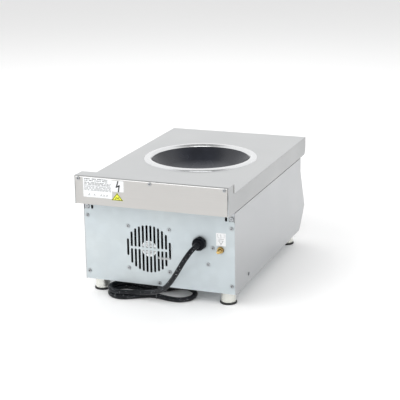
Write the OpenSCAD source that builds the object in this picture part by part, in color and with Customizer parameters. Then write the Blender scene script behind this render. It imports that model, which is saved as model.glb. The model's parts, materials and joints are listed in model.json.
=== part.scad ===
// Table-top induction wok hob: folded steel casing, glass-ceramic bowl, coil, power electronics and fan.
// The front faces -Y and the rear faces +Y. The feet stand on z = 0.

/* [Casing] */
// Width over the skirts of the top
width = 385; // [380:1:395]
// Height of the top plate above the table
plate_z = 281; // [276:1:286]
// Front edge of the top plate, measured from the middle of the hob
front_y = 318; // [316:1:322]
// Outer face of the rear cover, measured from the middle of the hob
rear_y = 316; // [314:1:318]
// Height of the rear upstand above the top plate
upstand_rise = 23; // [18:1:30]
// Depth of the rear upstand, front to back
upstand_depth = 41; // [38:1:44]
// Depth of the side skirts of the top
skirt_drop = 47; // [44:1:50]
// How far the rear cover stands behind the rear panel
rear_gap = 45; // [43:1:48]
// Clear height under the base
foot_space = 32; // [31:0.5:34]

/* [Sheet metal] */
// Thickness of the top and of the front panel
top_t = 1.5; // [1.2:0.1:1.5]
// Thickness of the side panels and of the rear panel
shell_t = 1.2; // [1:0.1:1.2]
// Outer bend radius of the top
bend_r = 2.5; // [2:0.5:4]

/* [Wok bowl] */
// Inner radius of the glass bowl at its rim
bowl_r = 127; // [120:1:127]
// Depth of the bowl
bowl_depth = 66; // [60:1:68]
// Thickness of the glass
glass_t = 5; // [4:0.5:5]
// Middle of the bowl along Y
bowl_y = -19; // [-22:1:-16]

/* [Rear panel] */
// Middle of the fan along X
fan_x = 25; // [15:1:30]
// Middle of the fan above the table
fan_z = 124; // [122:1:125]
// Distance between the ventilation slots
slot_pitch = 9.8; // [9.4:0.1:10]
// Width of a ventilation slot
slot_w = 5.6; // [4:0.1:5.8]
// Cable gland along X
gland_x = -105; // [-108:1:-100]
// Cable gland above the table
gland_z = 152; // [148:1:156]

/* [Controls] */
// Power knob along X
knob_x = 95; // [80:1:110]
// Radius of the power knob
knob_r = 22; // [18:1:22]
// Mains switch along X
switch_x = -105; // [-120:1:-95]

/* [Feet] */
// Distance of the feet from the middle along X
foot_x = 163.5; // [155:0.5:164]
// Rear feet along Y
rear_foot_y = 239; // [230:1:242]
// Front feet along Y
front_foot_y = -237.5; // [-237.5:0.5:-200]

/* [Mains lead] */
// Diameter of the mains lead
cord_d = 12; // [10:0.5:12]
// Overall length of the tied hank
hank_l = 220; // [210:1:230]
// Overall width of the tied hank
hank_w = 84; // [80:1:88]

/* [Hidden] */
$fn = 48;
e = 0.01;

half_w = width / 2;
skirt_z = plate_z - skirt_drop;
upstand_z = plate_z + upstand_rise;
riser_y = rear_y - upstand_depth;
panel_y = rear_y - rear_gap;
base_z = foot_space + shell_t;
body_z = skirt_z - top_t;
inner_w = half_w - shell_t;
plate_under = plate_z - top_t;

// Casing profile, seen from the side: bottom corner, nose and top corner of the control panel
toe = [-266, foot_space];
nose = [4 - front_y, 91];
brow = [46 - front_y, 196];
brow_top = [46 - front_y, body_z];

// Control panel slope
slope = brow - nose;
tilt = atan2(slope.y, slope.x);
slope_mid = (nose + brow) / 2;
control_v = 16;
board_w = -20;

// Bowl
sphere_r = (bowl_r * bowl_r + bowl_depth * bowl_depth) / (2 * bowl_depth);
lip_top = plate_z - 0.7;
lip_t = 3.8;
sphere_z = lip_top - bowl_depth + sphere_r;
recess_r = bowl_r + 13;
ledge_r = bowl_r + 4;
ledge_z = plate_under - 4;
ring_r = bowl_r + 17.5;
ring_h = 4.2;
tray_z = 186;

// Fan and electronics
fan_size = 120;
fan_deep = 38;
fan_pitch = 105;
fan_front = panel_y - shell_t - fan_deep;
grille_r = 59;
grille_bar = 5;
fan_end = panel_y - shell_t;
fan_hub_r = 21;
strut_z = -20.5;
strut_w = 5;
board_z = 46;
board_t = 1.6;
board_top = board_z + board_t;
base_top = base_z + top_t;

// Feet
sleeve_r = 18;
stem_r = 8;
pad_r = 20.5;
pad_h = 4.5;

// Mains lead route from the gland spout to the hank
gland_l = 28;
cord_r = cord_d / 2;
cord_route = [
    [-105, 272, 152], [-105, 299, 152], [-105, 311, 151.5], [-103, 323, 148.5], [-99, 334, 141.5],
    [-93, 342, 131], [-86, 347, 118], [-78, 348, 104], [-69, 346, 90], [-59, 341, 76], [-49, 335, 64],
    [-38, 328, 53], [-26, 320.5, 43.5], [-12, 312.5, 35.5], [4, 305, 29], [21, 298.3, 24],
    [38, 294.2, 20.6], [54.5, 292.8, 18.7]
];
tail_route = [[1, 216.5, 6], [-9, 206.5, 6], [-19, 196.5, 6], [-29, 186.5, 6], [-39, 176.5, 6]];
tail_turn = 225;
hank_at = [26, 253];
hank_turn = 10;
hank_h = 24;
tie_x = -14;
tie_w = 10;
tie_t = 1.3;
core_r = 2;
core_l = 28;

// ---- Outline helpers ----

function unit(v) = v / norm(v);

// Points of a round corner of radius r at b, between a and c
function corner(a, b, c, r, n = 5) =
    r <= 0 ? [b] :
    let (
        u = unit(a - b),
        v = unit(c - b),
        half = acos(u * v) / 2,
        m = b + unit(u + v) * r / sin(half),
        p = b + u * r / tan(half),
        q = b + v * r / tan(half),
        a0 = atan2(p.y - m.y, p.x - m.x),
        a1 = atan2(q.y - m.y, q.x - m.x),
        turn = (a1 - a0 + 540) % 360 - 180
    )
    [for (i = [0:n]) m + r * [cos(a0 + turn * i / n), sin(a0 + turn * i / n)]];

// Closed outline from [x, y, radius] corners
function outline(p) = let (n = len(p)) [
    for (i = [0:n - 1])
        each corner(flat(p[(i + n - 1) % n]), flat(p[i]), flat(p[(i + 1) % n]), p[i][2])
];

// Open path from [x, y, radius] corners
function path(p) = let (n = len(p)) [
    for (i = [0:n - 1])
        each (i == 0 || i == n - 1
            ? [flat(p[i])]
            : corner(flat(p[i - 1]), flat(p[i]), flat(p[i + 1]), p[i][2]))
];

function flat(v) = [v[0], v[1]];

function left_of(a, b) = let (d = unit(b - a)) [-d.y, d.x];

// Path moved sideways by t, to its left
function shifted(p, t) = let (n = len(p)) [
    for (i = [0:n - 1])
        let (
            before = left_of(p[max(i - 1, 0)], p[max(i, 1)]),
            after = left_of(p[min(i, n - 2)], p[min(i + 1, n - 1)]),
            m = unit(before + after)
        )
        p[i] + m * t / (m * after)
];

function backwards(p) = [for (i = [len(p) - 1:-1:0]) p[i]];

// Folded sheet of thickness t to the left of a path
module sheet(p, t) {
    polygon(concat(p, backwards(shifted(p, t))));
}

module along_x(x0, x1) {
    translate([x0, 0, 0]) rotate([90, 0, 90]) linear_extrude(x1 - x0) children();
}

module along_y(y0, y1) {
    translate([0, y1, 0]) rotate([90, 0, 0]) linear_extrude(y1 - y0) children();
}

module box(x, y, z) {
    translate([x[0], y[0], z[0]]) cube([x[1] - x[0], y[1] - y[0], z[1] - z[0]]);
}

// Cylinder that points to +Y
module rod_y(r, y0, y1) {
    translate([0, y0, 0]) rotate([-90, 0, 0]) cylinder(r = r, h = y1 - y0);
}

// Hexagon across the flats that points to +Y
module hex_y(flats, y0, y1) {
    translate([0, y0, 0]) rotate([-90, 0, 0]) cylinder(d = flats / cos(30), h = y1 - y0, $fn = 6);
}

module both_sides() {
    children();
    mirror([1, 0, 0]) children();
}

module on_slope(x, v) {
    translate([x, slope_mid.x, slope_mid.y]) rotate([tilt, 0, 0]) translate([0, v, 0]) children();
}

// Pan head screw that points to -Z with its head above z = 0
module pan_screw(r, grip) {
    difference() {
        cylinder(r = 1.9 * r, h = r);
        translate([-r, -0.2 * r, 0.5 * r]) cube([2 * r, 0.4 * r, r]);
        translate([-0.2 * r, -r, 0.5 * r]) cube([0.4 * r, 2 * r, r]);
    }
    translate([0, 0, -grip]) cylinder(r = r, h = grip + e);
}

// ---- Tube along a list of points ----

function tangent(p, i) = unit(p[min(i + 1, len(p) - 1)] - p[max(i - 1, 0)]);

function carried(p, side, i = 0) =
    i >= len(p) ? [] :
    let (t = tangent(p, i), s = unit(side - t * (t * side)))
    concat([s], carried(p, s, i + 1));

module tube(p, r, sides = 10, side = [1, 0, 0.2]) {
    s = carried(p, side);
    n = len(p);
    ring = [for (i = [0:n - 1]) let (t = tangent(p, i), u = s[i], v = cross(t, u))
        for (k = [0:sides - 1]) p[i] + r * (cos(360 * k / sides) * u + sin(360 * k / sides) * v)];
    walls = [for (i = [0:n - 2], k = [0:sides - 1])
        [i * sides + k, (i + 1) * sides + k, (i + 1) * sides + (k + 1) % sides, i * sides + (k + 1) % sides]];
    caps = [[for (k = [0:sides - 1]) k], [for (k = [sides - 1:-1:0]) (n - 1) * sides + k]];
    polyhedron(ring, concat(walls, caps));
}

// ---- Casing ----

front_roll = 16;
front_lip = 50;
pan_front = -256;
upstand_return = 16;
screw_r = 2;
screw_grip = 8;
screw_hole = 2.2;
cover_screw_x = 182;
corner_x = 183;
corner_screw_z = [53, 194];
corner_bolt_z = 217;
notch_x = 177;
notch_z = 211;
pan_screw_at = [-1, 41];
gland_screw_at = [-137, 142.5];
side_screw_at = [174, 53];
stud_at = [-156, 140];
stud_r = 4;
stud_pitch_r = 3.6;

module top_outside() {
    intersection() {
        along_x(-half_w, half_w) polygon(outline([
            [-front_y, skirt_z, front_roll], [-front_y, plate_z, bend_r], [riser_y + 2, plate_z, 0],
            [riser_y + 2, skirt_z, 0]
        ]));
        along_y(-front_y - 1, riser_y + 3) polygon(outline([
            [-half_w, skirt_z, 0], [-half_w, plate_z, bend_r], [half_w, plate_z, bend_r], [half_w, skirt_z, 0]
        ]));
    }
    intersection() {
        along_x(-half_w, half_w) polygon(outline([
            [riser_y, skirt_z, 0], [riser_y, upstand_z, bend_r],
            [rear_y - top_t, upstand_z, bend_r], [rear_y - top_t, skirt_z, 0]
        ]));
        along_y(riser_y - 1, rear_y) polygon(outline([
            [-half_w, skirt_z, 0], [-half_w, upstand_z, bend_r],
            [half_w, upstand_z, bend_r], [half_w, skirt_z, 0]
        ]));
    }
}

module top_inside() {
    inner = half_w - top_t;
    lip_end = front_lip - front_y;
    along_x(-inner, inner) polygon(outline([
        [lip_end, skirt_z - 1, 0], [lip_end, skirt_z + top_t, 0],
        [top_t - front_y, skirt_z + top_t, front_roll - top_t],
        [top_t - front_y, plate_under, bend_r - top_t],
        [riser_y + top_t, plate_under, 0], [riser_y + top_t, skirt_z - 1, 0]
    ]));
    along_x(-inner, inner) polygon([
        [riser_y + 1, skirt_z - 1], [riser_y + 1, plate_under - e], [riser_y + top_t, plate_under - e],
        [riser_y + top_t, upstand_z - top_t], [rear_y - 2 * top_t, upstand_z - top_t],
        [rear_y - 2 * top_t, upstand_z - upstand_return], [rear_y + 1, upstand_z - upstand_return],
        [rear_y + 1, skirt_z - 1]
    ]);
}

module top_plate() {
    color("silver") difference() {
        union() {
            difference() {
                top_outside();
                top_inside();
                translate([0, bowl_y, ledge_z - 1]) cylinder(r = recess_r, h = 20, $fn = 96);
            }
            translate([0, bowl_y, 0]) rotate_extrude($fn = 96) polygon([
                [ledge_r, ledge_z - top_t], [recess_r + top_t, ledge_z - top_t],
                [recess_r + top_t, plate_under + e], [recess_r, plate_under + e],
                [recess_r, ledge_z], [ledge_r, ledge_z]
            ]);
        }
        at_cover_screws() rod_y(screw_hole, -4, 0);
    }
}

module rear_cover() {
    color("lightgray") difference() {
        along_y(rear_y - top_t, rear_y) polygon(outline([
            [-half_w + 3, skirt_z + 1.5, 1], [half_w - 3, skirt_z + 1.5, 1],
            [half_w - 3, upstand_z - 1.7, 1], [-half_w + 3, upstand_z - 1.7, 1]
        ]));
        at_cover_screws() rod_y(screw_hole, -4, 1);
    }
}

module cover_screws() {
    color("gainsboro") at_cover_screws() rotate([-90, 0, 0]) pan_screw(screw_r, screw_grip);
}

module at_cover_screws() {
    for (x = [-cover_screw_x, 0, cover_screw_x])
        translate([x, rear_y, upstand_z - 6.5]) children();
}

module trim_ring() {
    color("whitesmoke") translate([0, bowl_y, plate_z]) rotate_extrude($fn = 96) polygon([
        [bowl_r + 0.4, 0], [ring_r, 0], [ring_r - 0.5, 1.1], [ring_r - 2.2, 2.4], [ring_r - 5, 3.5],
        [ring_r - 9, ring_h], [bowl_r + 3.4, ring_h], [bowl_r + 1.4, 3.7], [bowl_r + 0.4, 2.6]
    ]);
}

module bowl_seal() {
    color("dimgray") translate([0, bowl_y, ledge_z]) rotate_extrude($fn = 96)
        polygon([[ledge_r + 0.5, 0], [recess_r - 0.6, 0], [recess_r - 0.6, 1], [ledge_r + 0.5, 1]]);
}

// Part of a bowl section between two radii about the centre of the sphere
function bowl_arc(r, from, to, n = 20) = [for (i = [0:n])
    let (a = from + (to - from) * i / n) [r * sin(a), sphere_z - r * cos(a)]];

module dish(r0, r1, a0, a1) {
    translate([0, bowl_y, 0]) rotate_extrude($fn = 96)
        polygon(concat(bowl_arc(r0, a0, a1), backwards(bowl_arc(r1, a0, a1))));
}

module glass_bowl() {
    lip_z = lip_top - lip_t;
    outer_r = sphere_r + glass_t;
    rim_a = asin(bowl_r / sphere_r);
    lip_a = acos((sphere_z - lip_z) / outer_r);
    color("darkslategray") translate([0, bowl_y, 0]) rotate_extrude($fn = 96) polygon(concat(
        bowl_arc(sphere_r, 0, rim_a), [[recess_r - 0.6, lip_top], [recess_r - 0.6, lip_z]],
        backwards(bowl_arc(outer_r, 0, lip_a))
    ));
}

module side_panel() {
    back = panel_y - shell_t;
    difference() {
        along_x(inner_w, half_w) polygon(outline([
            [panel_y, foot_space, 0], [panel_y, body_z, 0], [brow_top.x, brow_top.y, 1],
            [brow.x, brow.y, 8], [nose.x, nose.y, 4], [toe.x, toe.y, 14]
        ]));
        translate([inner_w - 1, side_screw_at.x, side_screw_at.y]) rotate([0, 90, 0])
            cylinder(r = screw_hole, h = 5);
    }
    box([inner_w - 10, inner_w + e], [-256, panel_y - 3], [body_z - shell_t, body_z]);
    box([inner_w - 9, inner_w + e], [-246, panel_y - 3], [foot_space, base_z]);
    difference() {
        box([inner_w - 14, inner_w + e], [back - shell_t, back], [base_top + 2, 203]);
        for (z = corner_screw_z)
            translate([corner_x, 0, z]) rod_y(screw_hole, back - 3, back + 1);
    }
}

module left_side_panel() {
    color("silver") mirror([1, 0, 0]) side_panel();
}

module right_side_panel() {
    color("silver") side_panel();
}

// Upright slot with round ends, in X and Z
module slot(z0, z1, w) {
    translate([0, z0 + w / 2]) circle(d = w, $fn = 24);
    translate([0, z1 - w / 2]) circle(d = w, $fn = 24);
    translate([-w / 2, z0 + w / 2]) square([w, z1 - z0 - w]);
}

module grille() {
    for (i = [0:11]) {
        x = (i - 5.5) * slot_pitch;
        far = sqrt(grille_r * grille_r - x * x) - (i == 0 || i == 11 ? 3 : 0);
        translate([x, 0]) {
            if (i == 0 || i == 11) {
                slot(-far, far, slot_w);
            } else {
                slot(grille_bar / 2, far, slot_w);
                slot(-far, -grille_bar / 2, slot_w);
            }
        }
    }
}

// Places of the screws in the rear panel, as X and Z
function panel_screws() = [
    for (x = [-corner_x, corner_x], z = corner_screw_z) [x, z], gland_screw_at, pan_screw_at
];

module rear_panel() {
    edge = inner_w - 0.3;
    top = plate_under - 2;
    color("lightsteelblue") difference() {
        union() {
            along_y(panel_y - shell_t, panel_y) difference() {
                polygon(outline([
                    [-edge, base_z, 0], [edge, base_z, 0], [edge, notch_z, 4], [notch_x, notch_z, 2],
                    [notch_x, top, 0], [-notch_x, top, 0], [-notch_x, notch_z, 2], [-edge, notch_z, 4]
                ]));
                translate([fan_x, fan_z]) {
                    grille();
                    for (x = [-1, 1], z = [-1, 1])
                        translate([x, z] * fan_pitch / 2) circle(r = screw_hole, $fn = 24);
                }
                for (x = [-170, 170])
                    translate([x - 2.8, notch_z]) square([5.6, 9.5]);
            }
            box([-160, 160], [panel_y - 12, panel_y - e], [top - shell_t, top]);
        }
        translate([gland_x, 0, gland_z]) rod_y(12.6, panel_y - 5, panel_y + 5);
        translate([stud_at.x, 0, stud_at.y]) rod_y(stud_r + 0.2, panel_y - 5, panel_y + 5);
        for (p = panel_screws())
            translate([p.x, 0, p.y]) rod_y(screw_hole, panel_y - 5, panel_y + 5);
    }
}

module base_pan() {
    back = panel_y - shell_t;
    color("lightsteelblue") difference() {
        union() {
            box([-inner_w + 0.3, inner_w - 0.3], [pan_front, back], [base_z, base_top]);
            box([-174, 174], [back - top_t, back], [base_z, base_z + 18]);
            both_sides() box([inner_w - 1.8, inner_w - 0.3], [-240, back - 4], [base_z, base_z + 15]);
        }
        for (x = [-foot_x, foot_x], y = [front_foot_y, rear_foot_y])
            translate([x, y, base_z - 1]) cylinder(r = 5.2, h = 5);
        for (i = [-8:8])
            box([i * 14 - 3, i * 14 + 3], [-200, -130], [base_z - 1, base_top + 1]);
        translate([pan_screw_at.x, 0, pan_screw_at.y]) rod_y(screw_hole, back - 5, back + 1);
    }
}

module control_panel() {
    edge = inner_w - 0.3;
    fold = path([
        [pan_front - 1.5, foot_space, 0], [toe.x, toe.y, 14], [nose.x, nose.y, 4], [brow.x, brow.y, 8],
        [brow_top.x, brow_top.y - 0.3, 2], [brow_top.x + 14, brow_top.y - 0.3, 0]
    ]);
    tab = shifted([nose, brow, [brow_top.x, brow_top.y - 3]], -top_t + e);
    color("silver") difference() {
        union() {
            along_x(-edge, edge) sheet(fold, -top_t);
            both_sides() along_x(edge - top_t, edge) sheet(tab, -11);
        }
        on_slope(knob_x, control_v) translate([0, 0, -3]) cylinder(r = 4.7, h = 6);
        on_slope(0, control_v) translate([-36, -13, -3]) cube([72, 26, 6]);
        on_slope(switch_x, control_v) translate([-11.8, -14, -3]) cube([23.6, 28, 6]);
    }
}

module support_rails() {
    color("gainsboro") both_sides() {
        box([164, 177.5], [-258, 266], [plate_under - top_t, plate_under]);
        box([176, 177.5], [-258, 266], [body_z, plate_under]);
        box([176, 187], [-258, 266], [body_z, body_z + top_t]);
    }
}

module corner_brackets() {
    color("gainsboro") both_sides() {
        back = panel_y - shell_t;
        difference() {
            box([177.5, inner_w - 0.8], [back - top_t, back], [206, 250]);
            translate([corner_x, 0, corner_bolt_z]) rod_y(2.7, back - 5, back + 1);
        }
        box([inner_w - top_t, inner_w], [back - 22, back - top_t + e], [206, body_z - 2 * shell_t]);
        translate([corner_x, back, corner_bolt_z]) rotate([-90, 0, 0]) pan_screw(2.6, screw_grip);
    }
}

module casing_screws() {
    color("gainsboro") {
        for (p = panel_screws())
            translate([p.x, panel_y, p.y]) rotate([-90, 0, 0]) pan_screw(screw_r, screw_grip);
        both_sides() translate([half_w, side_screw_at.x, side_screw_at.y]) rotate([0, 90, 0])
            pan_screw(screw_r, screw_grip);
    }
}

// ---- Heating ----

module bowl_insulation() {
    color("white") dish(sphere_r + glass_t + 0.3, sphere_r + glass_t + 3, 8, 40);
}

module induction_coil() {
    r = sphere_r + glass_t + 5.4;
    color("peru") translate([0, bowl_y, sphere_z]) for (i = [0:17]) {
        a = 9 + i * 1.65;
        rotate_extrude($fn = 64) translate([r * sin(a), -r * cos(a)]) circle(d = 4, $fn = 16);
    }
}

module coil_carrier() {
    r = sphere_r + glass_t + 8;
    color("beige") {
        dish(r, r + 3.5, 7, 41);
        for (a = [22.5:90:292.5])
            translate([100 * cos(a), bowl_y + 100 * sin(a), tray_z + 2]) cylinder(r = 6, h = 41);
    }
}

module ferrite_bars() {
    color("dimgray") translate([0, bowl_y, sphere_z]) for (a = [0:45:315])
        rotate([0, 0, a]) rotate([0, -22, 0])
            translate([-30, -7.5, -(sphere_r + glass_t + 18)]) cube([60, 15, 6]);
}

module coil_tray() {
    color("gainsboro") difference() {
        box([-150, 150], [bowl_y - 128, bowl_y + 128], [tray_z, tray_z + 2]);
        translate([0, bowl_y, tray_z - 1]) cylinder(r = 14, h = 4);
        for (a = [0:60:300])
            translate([60 * cos(a), bowl_y + 60 * sin(a), tray_z - 1]) cylinder(r = 12, h = 4);
        for (x = [-135, 135], y = [-115, 115])
            translate([x, bowl_y + y, tray_z - 1]) cylinder(r = screw_hole, h = 4);
    }
}

module coil_posts() {
    color("darkgray") for (x = [-135, 135], y = [-115, 115])
        translate([x, bowl_y + y, base_top]) {
            cylinder(r = 5, h = tray_z - base_top);
            cylinder(r = 2, h = tray_z - base_top + 8);
        }
}

module temperature_sensor() {
    under = sphere_z - sphere_r - glass_t;
    color("white") translate([0, bowl_y, 0]) {
        translate([0, 0, under - 11]) cylinder(r = 8, h = 10.5);
        translate([0, 0, tray_z - 6]) cylinder(r = 4, h = under - 10 - tray_z + 6);
    }
}

module sensor_spring() {
    turns = 3;
    coil = [for (i = [0:12 * turns]) [
        6.5 * cos(30 * i), bowl_y + 6.5 * sin(30 * i), tray_z + 3.6 + i * 2.6 / 12
    ]];
    color("gray") tube(coil, 0.7, 6, [0, 0, 1]);
    color("gray") translate([0, bowl_y, tray_z + 2]) difference() {
        cylinder(r = 15, h = 0.7);
        translate([0, 0, -1]) cylinder(r = 4.5, h = 3);
    }
}

// ---- Power electronics ----

module power_board() {
    color("darkgreen") difference() {
        box([-85, 115], [-120, 222], [board_z, board_top]);
        for (x = [-79, 109], y = [-114, 51, 216])
            translate([x, y, board_z - 1]) cylinder(r = 1.8, h = 4);
    }
}

module standoff(x, y) {
    translate([x, y, base_top]) cylinder(d = 7 / cos(30), h = board_z - base_top, $fn = 6);
    translate([x, y, board_z - e]) cylinder(r = 1.5, h = board_t + 1);
    translate([x, y, board_top]) cylinder(r = 2.8, h = 2);
}

module board_standoffs() {
    color("goldenrod") {
        for (x = [-79, 109], y = [-114, 51, 216])
            standoff(x, y);
        for (x = [-174, -106], y = [116, 224])
            standoff(x, y);
    }
}

module heat_sink() {
    low = board_top + 5.4;
    color("darkgray") {
        box([-35, 85], [70, 214], [low, low + 7]);
        for (i = [0:14])
            box([-34 + i * 8.3, -32.2 + i * 8.3], [70, 214], [low + 7 - e, 120]);
    }
}

module chip(x, y, w, l) {
    box([x - w / 2, x + w / 2], [y - l / 2, y + l / 2], [board_top, board_top + 5.4]);
}

module power_transistors() {
    color("black") for (x = [-15, 10, 40, 65])
        chip(x, 110, 16, 21);
}

module bridge_rectifier() {
    color("black") chip(25, 170, 30, 22);
}

module bus_capacitors() {
    color("orangered") for (y = [-5, 33])
        box([-70, -13], [y - 16, y + 16], [board_top, board_top + 46]);
}

module resonant_capacitors() {
    color("gold") for (y = [-85, -48])
        box([30, 84], [y - 15, y + 15], [board_top, board_top + 38]);
}

module filter_choke() {
    color("chocolate") translate([55, 15, board_top + 12.5]) rotate_extrude()
        translate([19, 0]) circle(r = 9);
    color("chocolate") translate([55, 15, board_top]) difference() {
        cylinder(r = 24, h = 4.2);
        translate([0, 0, -1]) cylinder(r = 12, h = 7);
    }
}

module filter_board() {
    color("darkgreen") difference() {
        box([-180, -100], [110, 230], [board_z, board_top]);
        for (x = [-174, -106], y = [116, 224])
            translate([x, y, board_z - 1]) cylinder(r = 1.8, h = 4);
    }
    color("gold") box([-170, -135], [125, 143], [board_top, board_top + 20]);
    color("steelblue") translate([-118, 150, board_top]) cylinder(r = 8, h = 24);
}

module terminal_block() {
    color("ivory") difference() {
        box([-165, -115], [192, 214], [board_top, board_top + 22]);
        for (i = [0:4]) {
            translate([-160 + i * 10, 202, board_top + 5]) cylinder(r = 2.6, h = 20);
            translate([-160 + i * 10, 0, board_top + 10]) rod_y(1.9, 203, 220);
        }
    }
}

module coil_leads() {
    color("firebrick") for (y = [bowl_y - 5, bowl_y + 5]) tube([
        [103.6, y, 239.8], [107.5, y, 243.2], [113, y, 245.5], [121, y, 244.5], [132, y, 239],
        [145, y, 228], [155, y, 212], [160, y, 196], [162, y, 175],
        [160, y - 6, 140], [152, y - 12, 105], [138, y - 16, 80], [118, y - 18, 64], [106, y - 18, 54],
        [104, y - 18, board_top + 1]
    ], 2, 8, [0, 1, 0]);
}

module mains_wires() {
    colors = ["saddlebrown", "royalblue", "yellowgreen"];
    for (i = [0:2]) color(colors[i]) tube([
        [gland_x - 3.6 + i * 3.6, panel_y + 0.5, gland_z], [gland_x - 3.6 + i * 3.6, panel_y - 16, gland_z],
        [gland_x - 6 + i * 4, panel_y - 27, gland_z - 7],
        [gland_x - 10 + i * 4, panel_y - 33, gland_z - 24],
        [gland_x - 16 + i * 5, panel_y - 34, gland_z - 50],
        [-140 + i * 8, panel_y - 36, 84], [-150 + i * 10, panel_y - 40, 66],
        [-150 + i * 10, panel_y - 48, board_top + 10.5], [-150 + i * 10, 214.5, board_top + 10]
    ], 1.5, 8);
}

// ---- Fan ----

module fan_frame() {
    color("dimgray") translate([fan_x, 0, fan_z]) {
        difference() {
            along_y(fan_front, fan_front + fan_deep) difference() {
                s = fan_size / 2;
                polygon(outline([[-s, -s, 5], [s, -s, 5], [s, s, 5], [-s, s, 5]]));
                circle(r = 57, $fn = 96);
            }
            for (x = [-1, 1], z = [-1, 1])
                translate([x * fan_pitch / 2, 0, z * fan_pitch / 2])
                    rod_y(screw_hole, fan_front - 1, fan_front + fan_deep + 1);
        }
        difference() {
            union() {
                rod_y(fan_hub_r, fan_end - 7, fan_end - 0.5);
                for (a = [0:90:270])
                    rotate([0, a, 0]) translate([0, 0, strut_z])
                        box([-55, 0], [fan_end - 5, fan_end - 0.5], [-strut_w / 2, strut_w / 2]);
            }
            rod_y(2.05, fan_end - 8, fan_end - 2);
        }
    }
}

module fan_rotor() {
    near = fan_front + 5;
    color("black") translate([fan_x, 0, fan_z]) {
        rod_y(20.5, near, near + 24);
        rod_y(2, near + 23, fan_end - 3);
        intersection() {
            for (i = [0:6])
                rotate([0, i * 360 / 7, 0]) translate([37, near + 12, 0]) rotate([38, 0, 0])
                    cube([40, 28, 2], center = true);
            rod_y(54.5, near + 1, near + 23);
        }
    }
}

module fan_screws() {
    back = fan_front;
    color("gainsboro") for (x = [-1, 1], z = [-1, 1])
        translate([fan_x + x * fan_pitch / 2, 0, fan_z + z * fan_pitch / 2]) {
            translate([0, panel_y, 0]) rotate([-90, 0, 0]) pan_screw(2, panel_y - back + 5);
            difference() {
                hex_y(7, back - 3.4, back);
                rod_y(1.9, back - 4, back + 1);
            }
        }
}

// ---- Controls ----

module control_board() {
    color("darkgreen") on_slope(0, control_v) difference() {
        translate([-60, -28, board_w]) cube([175, 46, board_t]);
        translate([knob_x, 0, board_w - 1]) cylinder(r = 4, h = 4);
    }
    color("black") on_slope(0, control_v) translate([-33, -10, board_w + board_t]) cube([66, 20, 12]);
}

module display_window() {
    color("maroon") on_slope(0, control_v) {
        translate([-35.6, -12.6, -2]) cube([71.2, 25.2, 2.2]);
        translate([-39, -16, 0]) cube([78, 32, 1]);
    }
}

module knob_potentiometer() {
    color("slategray") on_slope(knob_x, control_v) difference() {
        union() {
            translate([-8, -8, board_w + board_t]) cube([16, 16, 8]);
            translate([0, 0, board_w + board_t + 8 - e]) cylinder(r = 4.4, h = 11);
            translate([0, 0, -4.5]) cylinder(d = 12 / cos(30), h = 2.7, $fn = 6);
        }
        translate([0, 0, board_w + board_t + 2]) cylinder(r = 3.05, h = 30);
    }
}

module power_knob() {
    color("black") on_slope(knob_x, control_v) difference() {
        union() {
            translate([0, 0, board_w + board_t + 3]) cylinder(r = 3, h = 22);
            translate([0, 0, 1]) rotate_extrude() polygon([
                [0, 0], [knob_r, 0], [knob_r, 3], [knob_r - 2, 4], [knob_r - 3, 18],
                [knob_r - 4, 19], [0, 19]
            ]);
        }
        for (a = [0:30:330])
            rotate([0, 0, a]) translate([knob_r + 0.4, 0, 6]) cylinder(r = 3.2, h = 20);
        translate([-0.8, 8, 19.2]) cube([1.6, 12, 3]);
    }
}

rocker_r = 12.4;
rocker_w = -5;
rocker_top = 7;
rocker_travel = 18;

module switch_body() {
    color("black") on_slope(switch_x, control_v) difference() {
        union() {
            translate([-15, -17, 0]) cube([30, 34, 2]);
            translate([-11.6, -13.8, -26]) cube([23.2, 27.6, 26.5]);
        }
        translate([-10.3, 0, rocker_w]) rotate([0, 90, 0]) cylinder(r = rocker_r + 0.3, h = 20.6);
        translate([-10.3, -rocker_r - 0.3, rocker_w]) cube([20.6, 2 * rocker_r + 0.6, 12]);
        translate([-10.3, -9, rocker_w - 16]) cube([20.6, 18, 16]);
        translate([-12, 0, rocker_w]) rotate([0, 90, 0]) cylinder(r = 1.58, h = 24);
    }
}

module switch_rocker() {
    color("firebrick") on_slope(switch_x, control_v) translate([0, 0, rocker_w]) {
        intersection() {
            translate([-10, 0, 0]) rotate([0, 90, 0]) cylinder(r = rocker_r, h = 20);
            along_x(-10, 10) polygon([
                [-rocker_r, -3], [rocker_r, -3], [rocker_r, rocker_top], [0, rocker_top],
                [-rocker_r, rocker_top + rocker_r * tan(rocker_travel)]
            ]);
        }
        translate([-11.2, 0, 0]) rotate([0, 90, 0]) cylinder(r = 1.5, h = 22.4);
    }
}

// ---- Mains inlet ----

module cable_gland() {
    color("black") translate([gland_x, 0, gland_z]) difference() {
        union() {
            rod_y(12.4, panel_y - 14, panel_y + 2);
            hex_y(29, panel_y, panel_y + 6);
            translate([0, panel_y + 6 - e, 0]) rotate([-90, 0, 0]) rotate_extrude() polygon([
                [0, 0], [15.5, 0], [15.5, 7], [14, 11], [10, 14], [8.6, gland_l - 6 - 2], [8, gland_l - 6],
                [0, gland_l - 6]
            ]);
        }
        rod_y(cord_r, panel_y - 20, panel_y + gland_l + 1);
    }
}

module gland_lock_nut() {
    back = panel_y - shell_t;
    color("black") translate([gland_x, 0, gland_z]) difference() {
        hex_y(30, back - 5, back);
        rod_y(12.6, back - 6, back + 1);
    }
}

module earth_stud() {
    back = panel_y - shell_t;
    free_end = panel_y + 8;
    color("goldenrod") translate([stud_at.x, 0, stud_at.y]) {
        rod_y(stud_pitch_r, back - 1, free_end);
        rod_y(stud_r, free_end - e, panel_y + 20);
        hex_y(13, back - 6, back);
    }
}

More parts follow.
